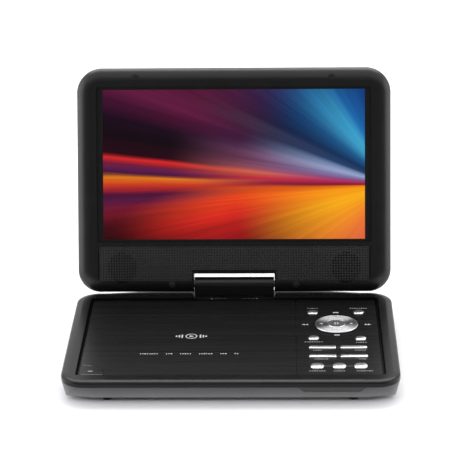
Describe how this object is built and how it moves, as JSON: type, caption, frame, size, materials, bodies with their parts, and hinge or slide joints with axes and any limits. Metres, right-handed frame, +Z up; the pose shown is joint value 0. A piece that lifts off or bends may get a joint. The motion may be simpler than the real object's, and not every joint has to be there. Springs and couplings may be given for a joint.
{
  "type": "portable disc player",
  "caption": "Clamshell portable disc player with a swivelling, tilting widescreen display, a flip-up disc lid and silver control keys.",
  "frame": {"origin": "under the middle of the opened player, on the surface that its rubber feet rest on", "axes": "+X to the player's right, +Y to its back, +Z up"},
  "size_m": [0.2374, 0.2154, 0.1799],
  "materials": {
    "shell_black": "satin gloss moulded plastic",
    "lower_shell": "fine moulded texture",
    "panel_brushed": "black with a fine brushed pattern under lacquer",
    "bezel_gloss": "piano gloss",
    "grille_black": "dimpled",
    "key_silver": "satin plated",
    "screen": "glossy display panel",
    "inner_plastic": "moulded",
    "board_green": "solder mask",
    "steel": "plain",
    "bush_black": "moulded acetal",
    "foil": "foil pouch",
    "rubber_black": "matt",
    "port_metal": "plated",
    "jack_black": "moulded",
    "window_dark": "dark infrared window",
    "lens_clear": "polished"
  },
  "bodies": {
    "base": {"bottom_shell": "lower_shell", "top_shell": "shell_black", "disc_lid_pins": "steel", "control_panel": "panel_brushed", "dpad_trim_ring": "shell_black", "key_board": "board_green", "disc_well": "inner_plastic", "drive_chassis": "steel", "sled_rails": "steel", "damping_grommets": "rubber_black", "drive_motors": "steel", "main_board": "board_green", "battery_cells": "foil", "audio_video_jacks": "jack_black", "dc_jack": "jack_black", "usb_socket": "port_metal", "card_socket": "port_metal", "power_switch_body": "jack_black", "rubber_feet": "rubber_black", "case_screws": "steel", "remote_window": "window_dark", "swivel_bush": "bush_black"},
    "swivel": {"hinge_cover_front": "bezel_gloss", "hinge_cover_rear": "bezel_gloss", "hinge_bracket": "steel", "swivel_post": "steel", "swivel_nut_and_washer": "steel"},
    "display": {"screen_bezel": "bezel_gloss", "rear_cover": "shell_black", "lid_screws": "steel", "screen_bumpers": "rubber_black", "speaker_grille": "grille_black", "lcd_mask": "bezel_gloss", "lcd_panel": "screen", "display_board": "board_green", "speakers": "jack_black", "tilt_shafts": "steel", "hinge_leaves": "steel"},
    "disc_lid": {"disc_lid": "panel_brushed"},
    "open_button": {"open_button": "panel_brushed"},
    "lid_catch": {"lid_catch": "inner_plastic"},
    "spindle": {"spindle_hub": "inner_plastic", "hub_balls": "steel"},
    "laser_sled": {"laser_sled": "inner_plastic", "objective_lens": "lens_clear"},
    "lead_screw": {"lead_screw": "steel"},
    "power_switch": {"power_switch": "jack_black"},
    "mode_button": {"mode_button": "key_silver"},
    "source_button": {"source_button": "key_silver"},
    "stop_button": {"stop_button": "key_silver"},
    "setup_button": {"setup_button": "key_silver"},
    "rewind_button": {"rewind_button": "key_silver"},
    "forward_button": {"forward_button": "key_silver"},
    "previous_button": {"previous_button": "key_silver"},
    "next_button": {"next_button": "key_silver"},
    "repeat_button": {"repeat_button": "key_silver"},
    "title_button": {"title_button": "key_silver"},
    "display_button": {"display_button": "key_silver"},
    "direction_pad": {"direction_pad": "key_silver"},
    "ok_button": {"ok_button": "key_silver"}
  },
  "joints": [
    {"name": "display_swivel", "type": "hinge", "parent": "base", "child": "swivel", "pos_m": [0, 0.0541, 0.01635], "axis": [0, 0, 1], "range_deg": [-180, 90]},
    {"name": "display_tilt", "type": "hinge", "parent": "swivel", "child": "display", "pos_m": [0, 0.0541, 0.0237], "axis": [-1, 0, 0], "range_deg": [-107.5, 72.5]},
    {"name": "disc_lid", "type": "hinge", "parent": "base", "child": "disc_lid", "pos_m": [0, 0.0412, 0.0142], "axis": [1, 0, 0], "range_deg": [-60, 0]},
    {"name": "open_button", "type": "slide", "parent": "base", "child": "open_button", "axis": [0, 0, -1], "range_m": [0, 0.0012], "stiffness_N_per_m": 600, "springref_m": -0.001},
    {"name": "lid_catch", "type": "slide", "parent": "base", "child": "lid_catch", "axis": [1, 0, 0], "range_m": [0, 0.0009], "stiffness_N_per_m": 100, "springref_m": -0.001},
    {"name": "spindle", "type": "hinge", "parent": "base", "child": "spindle", "pos_m": [-0.0298, -0.0268, 0.011], "axis": [0, 0, 1], "continuous": true},
    {"name": "lead_screw", "type": "hinge", "parent": "base", "child": "lead_screw", "pos_m": [-0.0498, -0.0644, 0.0069], "axis": [0, 1, 0], "range_deg": [0, 6030]},
    {"name": "laser_sled", "type": "slide", "parent": "base", "child": "laser_sled", "axis": [0, -1, 0], "range_m": [0, 0.0335]},
    {"name": "power_switch", "type": "slide", "parent": "base", "child": "power_switch", "axis": [0, 1, 0], "range_m": [0, 0.006]},
    {"name": "mode_button", "type": "slide", "parent": "base", "child": "mode_button", "axis": [0, 0, -1], "range_m": [0, 0.0005], "stiffness_N_per_m": 800, "springref_m": -0.0006},
    {"name": "source_button", "type": "slide", "parent": "base", "child": "source_button", "axis": [0, 0, -1], "range_m": [0, 0.0005], "stiffness_N_per_m": 800, "springref_m": -0.0006},
    {"name": "stop_button", "type": "slide", "parent": "base", "child": "stop_button", "axis": [0, 0, -1], "range_m": [0, 0.0005], "stiffness_N_per_m": 800, "springref_m": -0.0006},
    {"name": "setup_button", "type": "slide", "parent": "base", "child": "setup_button", "axis": [0, 0, -1], "range_m": [0, 0.0005], "stiffness_N_per_m": 800, "springref_m": -0.0006},
    {"name": "rewind_button", "type": "slide", "parent": "base", "child": "rewind_button", "axis": [0, 0, -1], "range_m": [0, 0.0005], "stiffness_N_per_m": 800, "springref_m": -0.0006},
    {"name": "forward_button", "type": "slide", "parent": "base", "child": "forward_button", "axis": [0, 0, -1], "range_m": [0, 0.0005], "stiffness_N_per_m": 800, "springref_m": -0.0006},
    {"name": "previous_button", "type": "slide", "parent": "base", "child": "previous_button", "axis": [0, 0, -1], "range_m": [0, 0.0005], "stiffness_N_per_m": 800, "springref_m": -0.0006},
    {"name": "next_button", "type": "slide", "parent": "base", "child": "next_button", "axis": [0, 0, -1], "range_m": [0, 0.0005], "stiffness_N_per_m": 800, "springref_m": -0.0006},
    {"name": "repeat_button", "type": "slide", "parent": "base", "child": "repeat_button", "axis": [0, 0, -1], "range_m": [0, 0.0005], "stiffness_N_per_m": 800, "springref_m": -0.0006},
    {"name": "title_button", "type": "slide", "parent": "base", "child": "title_button", "axis": [0, 0, -1], "range_m": [0, 0.0005], "stiffness_N_per_m": 800, "springref_m": -0.0006},
    {"name": "display_button", "type": "slide", "parent": "base", "child": "display_button", "axis": [0, 0, -1], "range_m": [0, 0.0005], "stiffness_N_per_m": 800, "springref_m": -0.0006},
    {"name": "direction_pad", "type": "slide", "parent": "base", "child": "direction_pad", "axis": [0, 0, -1], "range_m": [0, 0.0005], "stiffness_N_per_m": 800, "springref_m": -0.0006},
    {"name": "ok_button", "type": "slide", "parent": "base", "child": "ok_button", "axis": [0, 0, -1], "range_m": [0, 0.0005], "stiffness_N_per_m": 800, "springref_m": -0.0006}
  ],
  "couplings": [
    {"joint": "lid_catch", "follows": "open_button", "ratio": 0.75},
    {"joint": "lead_screw", "follows": "laser_sled", "rad_per_m": 3141.6}
  ]
}
